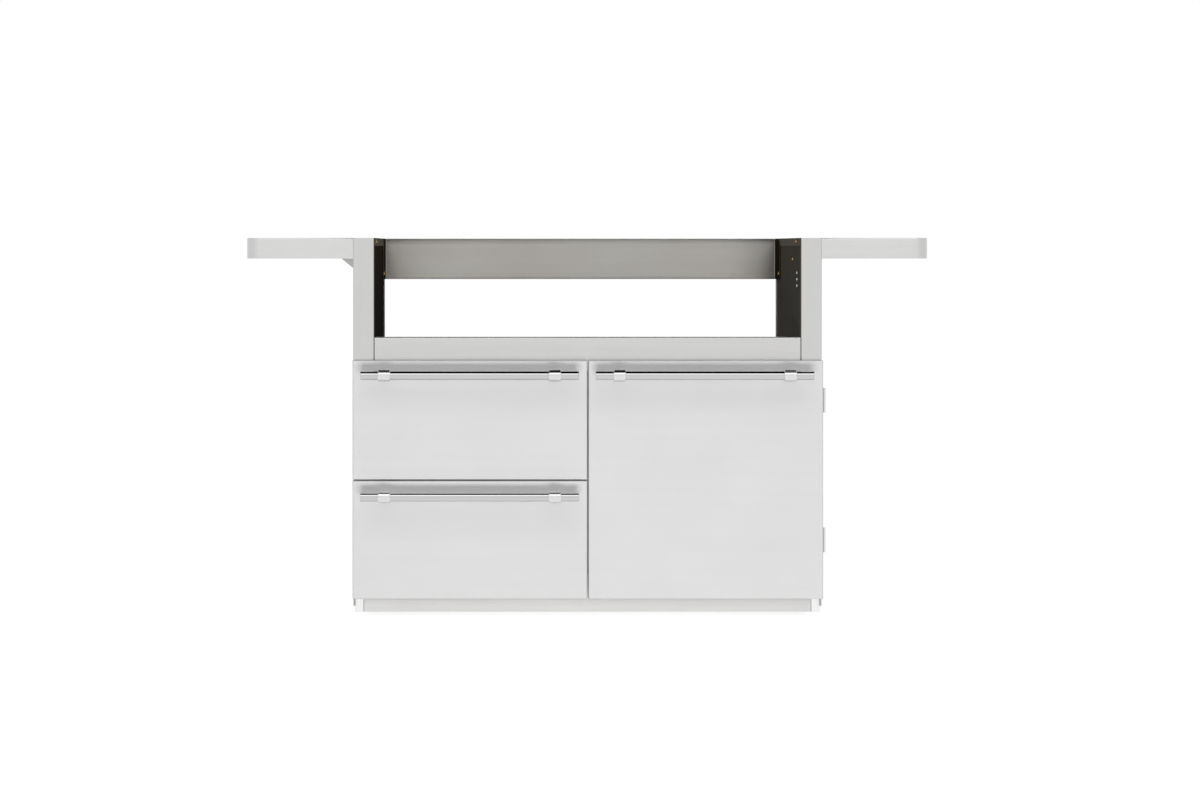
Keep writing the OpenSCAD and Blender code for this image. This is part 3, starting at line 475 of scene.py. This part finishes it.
nylon_grey = (0.16, 0.165, 0.17)
nylon_pale = (0.2, 0.205, 0.21)
dust_coarser = 12
dust_stops = (0.35, 0.75)
moulded_swing = 0.06
pebble_depth = 0.0003


def moulded(name, dark, pale, rough, grain=260, bump=0.15):
    """Moulded rubber, plastic or thick paint: a fine pebbled skin with dusty patches."""
    stuff, tree, skin, where = blank_finish(name)
    fine = noise(tree, where, (grain,) * 3, plain_detail)
    dust = noise(tree, where, (grain / dust_coarser,) * 3, plain_detail)
    tree.links.new(ramped(tree, dust, dust_stops, dark, pale), skin.inputs["Base Color"])
    dull = spread(tree, fine, rough - moulded_swing, rough + moulded_swing)
    tree.links.new(dull, skin.inputs["Roughness"])
    relief(tree, skin, fine, bump, pebble_depth)
    return stuff


def ringed(mesh, profile, at, axis, steps=64):
    """Turns a closed profile of (radius, height) points into a ring round an axis."""
    rings = [ring(mesh, radius, height, at, axis, steps) for radius, height in profile]
    for low, high in zip(rings, rings[1:] + rings[:1]):
        band(mesh, low, high, steps)


def block(mesh, low, high, place=Matrix.Identity(4)):
    """A plain block between two corners, put where place says."""
    corners = [mesh.verts.new(place @ Vector((x, y, z)))
               for z in (low[2], high[2]) for y in (low[1], high[1]) for x in (low[0], high[0])]
    for face in ((0, 2, 3, 1), (4, 5, 7, 6), (0, 1, 5, 4), (2, 6, 7, 3), (0, 4, 6, 2), (1, 3, 7, 5)):
        mesh.faces.new([corners[i] for i in face])


tyre_half = [(tyre_in_r, 0), (tyre_in_r, tyre_half_w - tyre_bead), (tyre_in_r + tyre_bead, tyre_half_w)]
for point in range(shoulder_points):
    angle = math.radians(90 - 90 * point / (shoulder_points - 1))
    tyre_half.append((wheel_r - shoulder_r * (1 - math.cos(angle)),
                      tyre_half_w - shoulder_r * (1 - math.sin(angle))))
tread_line = []
for middle in groove_at:
    for offset, depth in ((groove_half_w, 0), (groove_half_w / 2, groove_deep),
                          (-groove_half_w / 2, groove_deep), (-groove_half_w, 0)):
        tread_line.append((wheel_r - depth, middle + offset))
tread_line.sort(key=lambda place: -place[1])
tyre_profile = tyre_half + tread_line + [(radius, -height) for radius, height in reversed(tyre_half[1:])]
centre_half = [(bore_r, hub_half_l), (hub_r - hub_edge, hub_half_l), (hub_r, hub_half_l - hub_edge),
               (hub_r, web_half_w), (rim_in_r, web_half_w), (rim_in_r, rim_half_w), (tyre_in_r, rim_half_w)]
centre_profile = [(radius, -height) for radius, height in centre_half] + centre_half[::-1]
cap_profile = [(bore_r + cap_play, hub_half_l - cap_back), (cap_r, hub_half_l - cap_back),
               (cap_r, hub_half_l - cap_front), (cap_r - hub_edge, hub_half_l + cap_proud),
               (bore_r + cap_play, hub_half_l + cap_proud)]
rubber = moulded("tyre_rubber", rubber_black, rubber_dusty, rough=0.7)
nylon = moulded("wheel_nylon", nylon_grey, nylon_pale, rough=0.45)
for corner, name in zip(caster_at, caster_names):
    axle = corner + Vector((0, wheel_trail, wheel_r))
    tyre = bmesh.new()
    ringed(tyre, tyre_profile, axle, (1, 0, 0))
    tyre_piece = new_piece(f"tyre_{name}", tyre, f"wheel_{name}", rubber)
    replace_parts(tyre_piece, f"caster_wheel_{name}")
    centre = bmesh.new()
    ringed(centre, centre_profile, axle, (1, 0, 0))
    for rib in range(rib_count):
        spin = Matrix.Translation(axle) @ Matrix.Rotation(2 * math.pi * rib / rib_count, 4, "X")
        for side in (-1, 1):
            flank = sorted((side * web_half_w * rib_in_web, side * (rim_half_w - rib_inset)))
            block(centre, (flank[0], -rib_half_t, hub_r * rib_in_hub),
                  (flank[1], rib_half_t, rim_in_r * rib_in_rim), spin)
    new_piece(f"wheel_centre_{name}", centre, f"wheel_{name}", nylon)
    caps = bmesh.new()
    for side in (-1, 1):
        ringed(caps, cap_profile, axle, (side, 0, 0), steps=32)
    new_piece(f"bearing_caps_{name}", caps, f"wheel_{name}", zinc)

# Brake pedals: dark painted pressed steel on the two rear casters, with a ribbed rubber pad on
# the toe so a shoe doesn't slip.
pedal_dark = (0.03, 0.03, 0.032)
pedal_worn = (0.055, 0.055, 0.058)
pedal_top = 0.0871
pad_half_w = 0.011
pad_y = (0.3005, 0.3225)
pad_t = 0.0008
pad_edge = 0.0003
pad_ribs, pad_rib_w, pad_rib_h = 6, 0.0016, 0.0009
pad_rib_inset, pad_rib_edge = 0.001, 0.0004
finish_node(moulded("pedal_paint", pedal_dark, pedal_worn, rough=0.35, grain=120, bump=0.05),
            "brake_pedal_left", "brake_pedal_right")


def soft_block(mesh, low, high, edge):
    """A block with rounded edges."""
    before = set(mesh.edges)
    block(mesh, low, high)
    sharp = [line for line in mesh.edges if line not in before]
    bmesh.ops.bevel(mesh, geom=sharp, offset=edge, segments=2, profile=0.6, affect="EDGES")


for side, name in ((-1, "left"), (1, "right")):
    pad = bmesh.new()
    toe_x = side * caster_x
    soft_block(pad, (toe_x - pad_half_w, pad_y[0], pedal_top),
               (toe_x + pad_half_w, pad_y[1], pedal_top + pad_t), pad_edge)
    rib_half_l = pad_half_w - pad_rib_inset
    for rib in range(pad_ribs):
        rib_y = pad_y[0] + (rib + 0.5) * (pad_y[1] - pad_y[0]) / pad_ribs
        soft_block(pad, (toe_x - rib_half_l, rib_y - pad_rib_w / 2, pedal_top + pad_t / 2),
                   (toe_x + rib_half_l, rib_y + pad_rib_w / 2, pedal_top + pad_t + pad_rib_h), pad_rib_edge)
    new_piece(f"pedal_pad_{name}", pad, f"pedal_{name}", rubber)

# Cabinet floor, inner walls, divider and deck: folded from mill-finish stainless sheet. The walls
# stand on the floor with the deck between them. Above the deck they are painted dark, as painted
# shade and dark reflection, streaked upright, with a brown painted reflection near the top.
deck_tint = (0.6, 0.597, 0.585)
inner_tint = (0.74, 0.737, 0.725)
inner_bright = 0.7
deck_top = 0.602
# painted shade and dark reflection for the walls above the deck; the right wall's lighter, browner colours
# are painted reflection
wall_dark = (0.025, 0.0235, 0.0225)
wall_brown = (0.045, 0.03, 0.02)
wall_right_dark = (0.092, 0.086, 0.076)
wall_right_brown = (0.105, 0.078, 0.052)
wall_rough, wall_rough_swing = 0.5, 0.08
wall_lean = 0.4
wall_nick = 0.2
wall_streaks, wall_streak_detail = (220, 220, 7), 3
wall_streak = 0.12
brown_reflection_stretch, brown_reflection_detail = (1, 6, 2.2), 2
brown_reflection_edge = (0.42, 0.66)
brown_reflection_heights = (0.69, 0.84)
brown_reflection_least = 0.1


def shaded_wall_steel(name, dark, brown):
    """Steel that is bare below the deck and painted dark above it, as painted shade and dark
    reflection: near black there, with faint upright streaks and a brown painted reflection near the top."""
    stuff, tree, skin, where = blank_finish(name)
    skin.inputs["Specular IOR Level"].default_value = 0
    skin.inputs["Anisotropic"].default_value = wall_lean
    streaks = noise(tree, where, wall_streaks, wall_streak_detail)
    brown_reflection_noise = noise(tree, where, brown_reflection_stretch, brown_reflection_detail)
    height = joined(tree, "ShaderNodeSeparateXYZ", where["Object"]).outputs["Z"]
    shaded_above_deck = calc(tree, "GREATER_THAN", height, deck_top)
    upper = eased(tree, height, *brown_reflection_heights, brown_reflection_least, 1)
    brown_reflection_share = calc(tree, "MULTIPLY", eased(tree, brown_reflection_noise, *brown_reflection_edge), upper)
    colour = mixed(tree, shaded_above_deck, inner_tint, mixed(tree, brown_reflection_share, dark, brown))
    shade = spread(tree, streaks, 1 - wall_streak, 1 + wall_streak)
    tree.links.new(scaled(tree, colour, shade), skin.inputs["Base Color"])
    bare = calc(tree, "SUBTRACT", 1, shaded_above_deck)
    tree.links.new(calc(tree, "MULTIPLY", bare, inner_bright), skin.inputs["Metallic"])
    dull = spread(tree, streaks, wall_rough - wall_rough_swing, wall_rough + wall_rough_swing)
    tree.links.new(dull, skin.inputs["Roughness"])
    relief(tree, skin, streaks, wall_nick, scratch_depth)
    return stuff


finish_node(shaded_wall_steel("left_wall", wall_dark, wall_brown), "side_liner_left")
finish_node(shaded_wall_steel("right_wall", wall_right_dark, wall_right_brown), "side_liner_right")
finish_node(brushed_steel("deck_steel", deck_tint, grain="y", rough=0.36, lean=0.5, cloud=0.08), "bay_deck")
for node, grain in (("cabinet_floor", "y"), ("centre_divider", "z")):
    finish_node(brushed_steel(f"{node}_steel", inner_tint, grain=grain, rough=0.36, lean=0.5,
                              bright=inner_bright), node)

# Side panels: one sheet each side, folded round into a post at the front and at the back and
# closed by a ledge on top. Brushed upright. The ledge's lip inside the bay is painted dark like the
# walls, as painted shade and dark reflection.
post_tint = (0.636, 0.634, 0.622)
ledge_shade = (0.16, 0.147, 0.118)
finish_node(brushed_steel("post_steel", post_tint, grain="z", streak=0.02, cloud=0.04, bay_shade=ledge_shade),
            "side_panel_left", "side_panel_right")

# Rear cross panel and back panel: brushed sheet between the rear posts, warm grey and darker than
# the other steel as painted shade of the bay. The cross panel's long side flanges, screwed to the
# walls, are painted dark like them, as painted shade and dark reflection.
rear_shaded_tint = (0.502, 0.494, 0.471)
rear_shaded_warm = (0.471, 0.445, 0.41)
rear_flange_shade = (0.022, 0.019, 0.016)
rear_flange_x = 0.4832
finish_node(brushed_steel("rear_steel", rear_shaded_tint, rough=0.36, lean=0.75, streak=0.04, cloud=0.06,
                          warm=rear_shaded_warm, bay_shade=rear_flange_shade, bay_shade_edge=rear_flange_x),
            "rear_cross_panel", "back_panel")

# Apron: a pan folded from stainless sheet across the bay's open front, brushed from side to side,
# with its lower edge lapped behind the fronts.
apron_tint = (0.634, 0.631, 0.62)
finish_node(brushed_steel("apron_steel", apron_tint, rough=0.22, lean=0.85, streak=0.03, cloud=0.02),
            "front_apron")

# Side shelves: a folded pan at each end with rounded outer corners. Three bolts in a row hold it
# to the side panel, the last of them through the gusset under its back, which has a fourth bolt
# lower down. Each head has a washer.
shelf_tint = (0.658, 0.658, 0.654)
# The gusset's tint is darker than the shelf's: painted shade under the shelf.
gusset_shade_tint = (0.575, 0.57, 0.566)
shelf_bolt_x = 0.5335
shelf_bolt_at = [(-0.18475, 0.832), (0.00525, 0.832)]
gusset_t = 0.002
gusset_bolt_at = [(0.21325, 0.832), (0.21325, 0.792)]
shelf_washer_r, shelf_washer_h = 0.0088, 0.0012
finish_node(brushed_steel("shelf_steel", shelf_tint, streak=0.025, cloud=0.04), "shelf_left", "shelf_right")
finish_node(brushed_steel("gusset_steel", gusset_shade_tint, cloud=0.04), "shelf_brackets")
finish_node(zinc, "shelf_bolts")
shelf_washers = bmesh.new()
for side in (-1, 1):
    for seat, places in ((shelf_bolt_x, shelf_bolt_at), (shelf_bolt_x + gusset_t, gusset_bolt_at)):
        for y, z in places:
            washer(shelf_washers, (side * seat, y, z), (side, 0, 0), shelf_washer_r, shelf_washer_h)
new_piece("shelf_washers", shelf_washers, "cart", zinc)

# Bay screws: domed pan heads with a cross recess. Brass-coloured ones hold the ledges and the rear
# cross panel's side flanges, one more stands alone on the right wall, and three bright ones stand
# in a column there.
ledge_x, flange_x, wall_x = 0.4845, 0.483, 0.486
ledge_screw_at = (-0.14475, 0.852)
flange_screw_at = (0.24525, 0.775)
lone_screw_at = (-0.05875, 0.811)
column_y, column_z = -0.15275, (0.78, 0.765, 0.75)
ledge_turns = {-1: -0.1, 1: 0.5}
flange_turns = {-1: 0.9, 1: 0.5}
lone_turn = 0.9
column_turn = 0.5
head_r, head_h = 0.0038, 0.0024
head_dome = [(1, 0), (1, 0.3), (0.95, 0.62), (0.82, 0.87), (0.6, 1)]
head_steps = 24
shank_r, shank_l = 0.00195, 0.0079
recess_reach, recess_half_w, recess_deep, recess_taper = 0.45, 0.1, 0.5, 0.8
brass_tint = (0.6, 0.42, 0.13)
brass_shadow = (0.42, 0.28, 0.08)


def pan_head(mesh, at, axis, radius, height, turn):
    """A domed pan head with a cross recess, standing on at and facing along axis."""
    rings = [ring(mesh, radius * out, height * up, at, axis, head_steps) for out, up in head_dome]
    for low, high in zip(rings, rings[1:]):
        band(mesh, low, high, head_steps)
    mesh.faces.new(rings[0][::-1])
    to_axis = Vector(axis).to_track_quat("Z", "Y").to_matrix()
    reach, half = radius * recess_reach, radius * recess_half_w
    cross = []
    for quarter in range(4):
        spin = Matrix.Rotation(turn + quarter * math.pi / 2, 3, "Z")
        cross += [spin @ Vector((x, y, 0)) for x, y in ((reach, -half), (reach, half), (half, half))]
    face_up = Vector((0, 0, height))
    floor_up = Vector((0, 0, height * (1 - recess_deep)))
    upper = [mesh.verts.new(Vector(at) + to_axis @ (point + face_up)) for point in cross]
    lower = [mesh.verts.new(Vector(at) + to_axis @ (point * recess_taper + floor_up)) for point in cross]
    corners = len(cross)
    rim = rings[-1]
    rim_edges = [mesh.edges.get((rim[step], rim[(step + 1) % head_steps])) for step in range(head_steps)]
    cross_edges = [mesh.edges.new((upper[i], upper[(i + 1) % corners])) for i in range(corners)]
    bmesh.ops.triangle_fill(mesh, edges=rim_edges + cross_edges, use_beauty=True, use_dissolve=False)
    for i in range(corners):
        after = (i + 1) % corners
        mesh.faces.new((upper[i], upper[after], lower[after], lower[i]))
    mesh.faces.new(lower)


def screw(mesh, at, axis, turn):
    """A pan-head screw whose head stands on at, with its shank going the other way."""
    pan_head(mesh, at, axis, head_r, head_h, turn)
    shank(mesh, at, -Vector(axis), shank_r, shank_l)


brass = plated_steel("brass_plate", brass_tint, brass_shadow, rough=0.24)
brass_heads = bmesh.new()
for side in (-1, 1):
    screw(brass_heads, (side * ledge_x, *ledge_screw_at), (-side, 0, 0), ledge_turns[side])
    screw(brass_heads, (side * flange_x, *flange_screw_at), (-side, 0, 0), flange_turns[side])
screw(brass_heads, (wall_x, *lone_screw_at), (-1, 0, 0), lone_turn)
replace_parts(new_piece("brass_pan_heads", brass_heads, "cart", brass), "brass_screws")
bright_heads = bmesh.new()
for place, z in enumerate(column_z):
    screw(bright_heads, (wall_x, column_y, z), (-1, 0, 0), place * column_turn)
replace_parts(new_piece("bright_pan_heads", bright_heads, "cart", zinc), "wall_screws")

# Drawer slides: full-extension ball slides in rolled zinc-plated strip, riding on steel balls in
# brass-coloured cages.
slide_tint = (0.66, 0.67, 0.69)
slide_shadow = (0.56, 0.57, 0.6)
slide_nodes = [node for node in cart if node.startswith(("slide_outer", "slide_middle", "slide_inner"))]
finish_node(plated_steel("slide_zinc", slide_tint, slide_shadow, rough=0.24), *slide_nodes)
finish_node(brass, "slide_balls_top", "slide_balls_bottom")

# Drawer fronts and door skin: pans folded from fine satin sheet, brushed from side to side. The
# sheet shows faint cloudy smudges where it was wiped down.
front_tint = (0.742, 0.742, 0.74)
finish_node(brushed_steel("front_steel", front_tint, rough=0.38, lean=0.9, streak=0.015, cloud=0.045,
                          nick=0.05, bright=0.3),
            "drawer_top_front", "drawer_bottom_front", "door_skin")

# Drawer boxes and door liner: plainer stainless sheet, folded and welded. The boxes are brushed
# front to back and the liner upright.
box_tint = (0.6, 0.6, 0.59)
finish_node(brushed_steel("box_steel", box_tint, grain="y", rough=0.36, lean=0.5),
            "drawer_top_box", "drawer_bottom_box")
finish_node(brushed_steel("door_liner_steel", box_tint, grain="z", rough=0.36, lean=0.5), "door_liner")

# Bumpers: small domed buttons of grey rubber stuck behind each front, so it meets the posts and
# the divider softly.
bumper_y = -0.24975
bumper_r, bumper_h = 0.0035, 0.0034
bumper_dome = [(1, 0), (1, 0.35), (0.93, 0.62), (0.72, 0.86), (0.4, 0.97), (0, 1)]
bumper_x = {"drawer_top": (-0.508, -0.0082), "drawer_bottom": (-0.508, -0.0082), "door": (0.0082,)}
bumper_z = {"drawer_top": (0.338, 0.548), "drawer_bottom": (0.07, 0.286), "door": (0.08, 0.32, 0.548)}
bumper_grey = (0.07, 0.07, 0.072)
bumper_pale = (0.11, 0.11, 0.112)
bumper_rubber = moulded("bumper_rubber", bumper_grey, bumper_pale, rough=0.6, grain=400, bump=0.06)
bumper_profile = [(bumper_r * out, bumper_h * up) for out, up in bumper_dome]
for body in bumper_x:
    buttons = bmesh.new()
    for x in bumper_x[body]:
        for z in bumper_z[body]:
            turned(buttons, bumper_profile, (x, bumper_y, z), (0, 1, 0), steps=20)
    new_piece(f"bumpers_{body}", buttons, body, bumper_rubber)

# Handles: a round bar of stainless steel, polished bright, through two collars on stand-off posts,
# which have a softer satin. A socket screw under each collar grips the bar.
bar_tint = (0.565, 0.565, 0.565)
collar_tint = (0.71, 0.71, 0.71)
grip_y = -0.33175
collar_under = {"drawer_top": 0.538, "drawer_bottom": 0.266, "door": 0.538}
collar_x = {"drawer_top": (-0.45775, -0.07575), "drawer_bottom": (-0.45775, -0.07575),
            "door": (0.06925, 0.45125)}
grip_out_r, grip_in_r, grip_h = 0.0026, 0.0013, 0.0006
grip_sunk = 0.0004
grip_edge_r, grip_edge_h, socket_edge = 0.0003, 0.0002, 0.0002
bar_nodes = [node for node in cart if node.endswith("_bar")]
collar_nodes = [node for node in cart if node.endswith("_collars")]
finish_node(brushed_steel("bar_polish", bar_tint, rough=0.06, lean=0, streak=0.01, cloud=0.02, nick=0.02),
            *bar_nodes)
finish_node(brushed_steel("collar_satin", collar_tint, rough=0.2, lean=0.3, streak=0.02, cloud=0.03),
            *collar_nodes)
grip_profile = [(grip_in_r, -grip_sunk), (grip_out_r, -grip_sunk), (grip_out_r, grip_h - grip_edge_h),
                (grip_out_r - grip_edge_r, grip_h), (grip_in_r + socket_edge, grip_h)]
for body in collar_x:
    grips = bmesh.new()
    for x in collar_x[body]:
        ringed(grips, grip_profile, (x, grip_y, collar_under[body]), (0, 0, -1), steps=24)
    new_piece(f"grip_screws_{body}", grips, body, zinc)

# Hinges, strike and catch: satin stainless leaves and pins held by flush screws, a zinc-plated
# strike plate on the door, and a black moulded magnet catch with two steel poles under the apron.
hinge_tint = (0.74, 0.74, 0.73)
plastic_black = (0.022, 0.022, 0.022)
plastic_pale = (0.04, 0.04, 0.04)
hinge_at = (0.175, 0.492)
leaf_screw_at = ((0.5085, 0.0195), (0.5195, 0), (0.5085, -0.0195))
leaf_screw_turn = 0.6
fixed_leaf_y, door_leaf_y = -0.24675, -0.24775
flush_r, flush_h = 0.0031, 0.00025
catch_face = -0.24795
pole_x = (0.0365, 0.0745)
pole_z = (0.5485, 0.5545)
pole_half_h, pole_proud, pole_sunk, pole_edge = 0.001, 0.00005, 0.001, 0.0001
finish_node(brushed_steel("hinge_steel", hinge_tint, grain="z", rough=0.26, lean=0.4),
            "hinge_leaves_fixed", "hinge_leaves_door", "hinge_pins")
finish_node(zinc, "door_strike")
finish_node(moulded("catch_plastic", plastic_black, plastic_pale, rough=0.4, bump=0.08), "door_catch")
for body, leaf_y, out in (("cart", fixed_leaf_y, -1), ("door", door_leaf_y, 1)):
    flush_heads = bmesh.new()
    for hinge_z in hinge_at:
        for order, (x, up) in enumerate(leaf_screw_at):
            pan_head(flush_heads, (x, leaf_y, hinge_z + up), (0, out, 0), flush_r, flush_h,
                     order * leaf_screw_turn)
    new_piece(f"leaf_screws_{body}", flush_heads, body, zinc)
poles = bmesh.new()
for pole_mid in pole_z:
    soft_block(poles, (pole_x[0], catch_face - pole_proud, pole_mid - pole_half_h),
               (pole_x[1], catch_face + pole_sunk, pole_mid + pole_half_h), pole_edge)
new_piece("catch_poles", poles, "cart", zinc)
